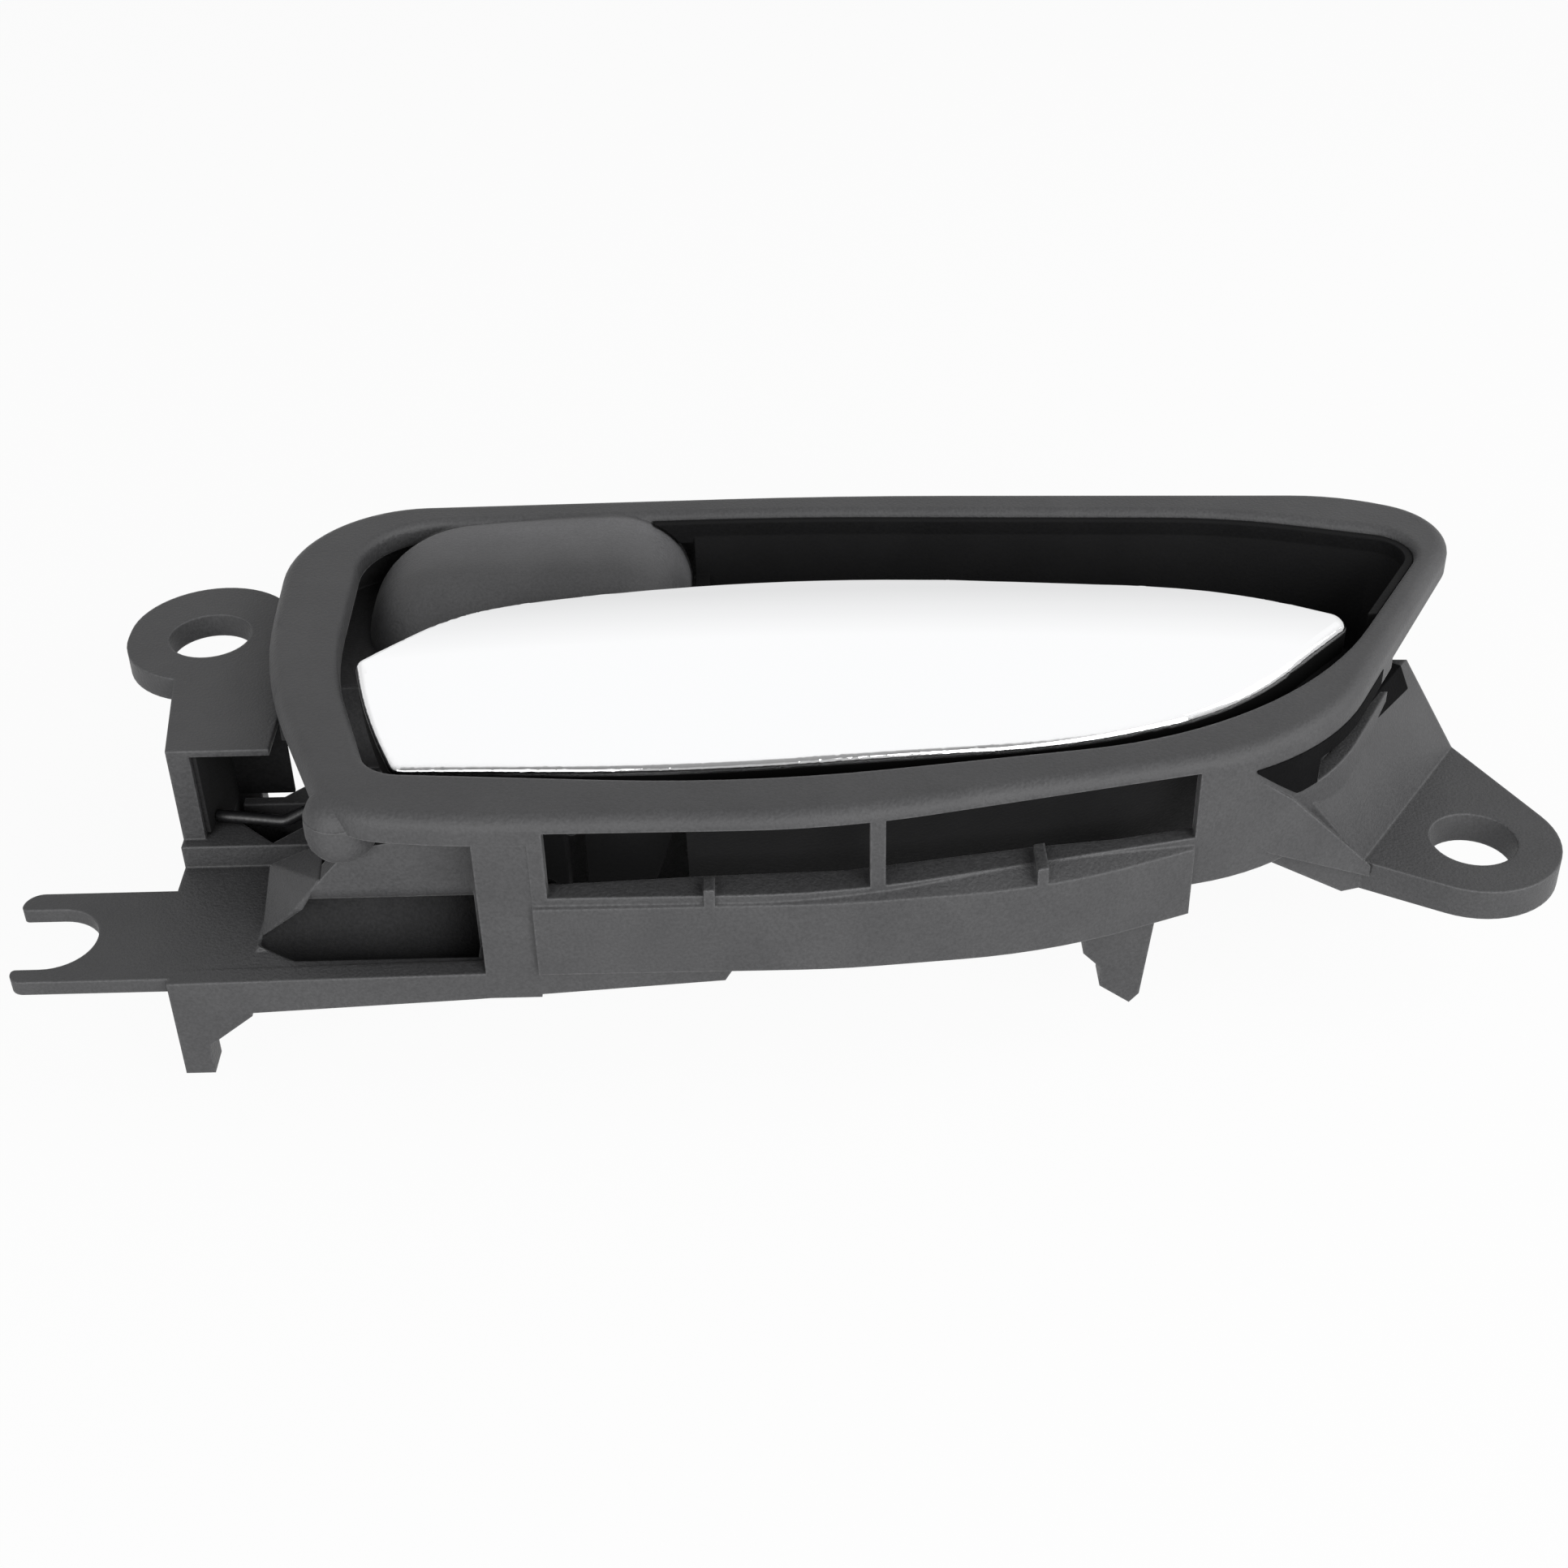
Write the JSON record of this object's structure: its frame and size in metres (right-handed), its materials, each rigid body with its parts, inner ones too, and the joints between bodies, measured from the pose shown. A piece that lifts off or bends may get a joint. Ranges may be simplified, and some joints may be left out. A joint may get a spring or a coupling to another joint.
{
  "type": "car interior door handle",
  "caption": "Car interior door handle: grey moulded bezel housing with screw ears, black finger cup and a sprung chrome pull lever that swings out on a hidden pivot pin.",
  "frame": {"origin": "centre of the left screw hole, on the back face of its ear", "axes": "+X along the handle to the lever's free tip, +Y up the door, +Z out of the door to the cabin, along the screw holes"},
  "size_m": [0.1512, 0.0604, 0.0316],
  "materials": {
    "grey_plastic": "fine moulded grain, matte",
    "black_plastic": "matte",
    "chrome": "bright plated",
    "steel": "ground",
    "spring_steel": "black coated wire",
    "rubber": "matte"
  },
  "bodies": {
    "housing": {"housing": "grey_plastic", "finger_cup": "black_plastic", "pivot_pin": "steel", "stop_bumper": "rubber", "return_spring": "spring_steel"},
    "lever": {"lever_carrier": "black_plastic", "lever_cap": "chrome"}
  },
  "joints": [
    {"name": "lever_pull", "type": "hinge", "parent": "housing", "child": "lever", "pos_m": [0.03, -0.018, 0.001], "axis": [0, -1, 0], "range_deg": [0, 38], "stiffness_Nm_per_rad": 0.08, "springref_deg": -28.65, "deforming": ["return_spring"]}
  ]
}
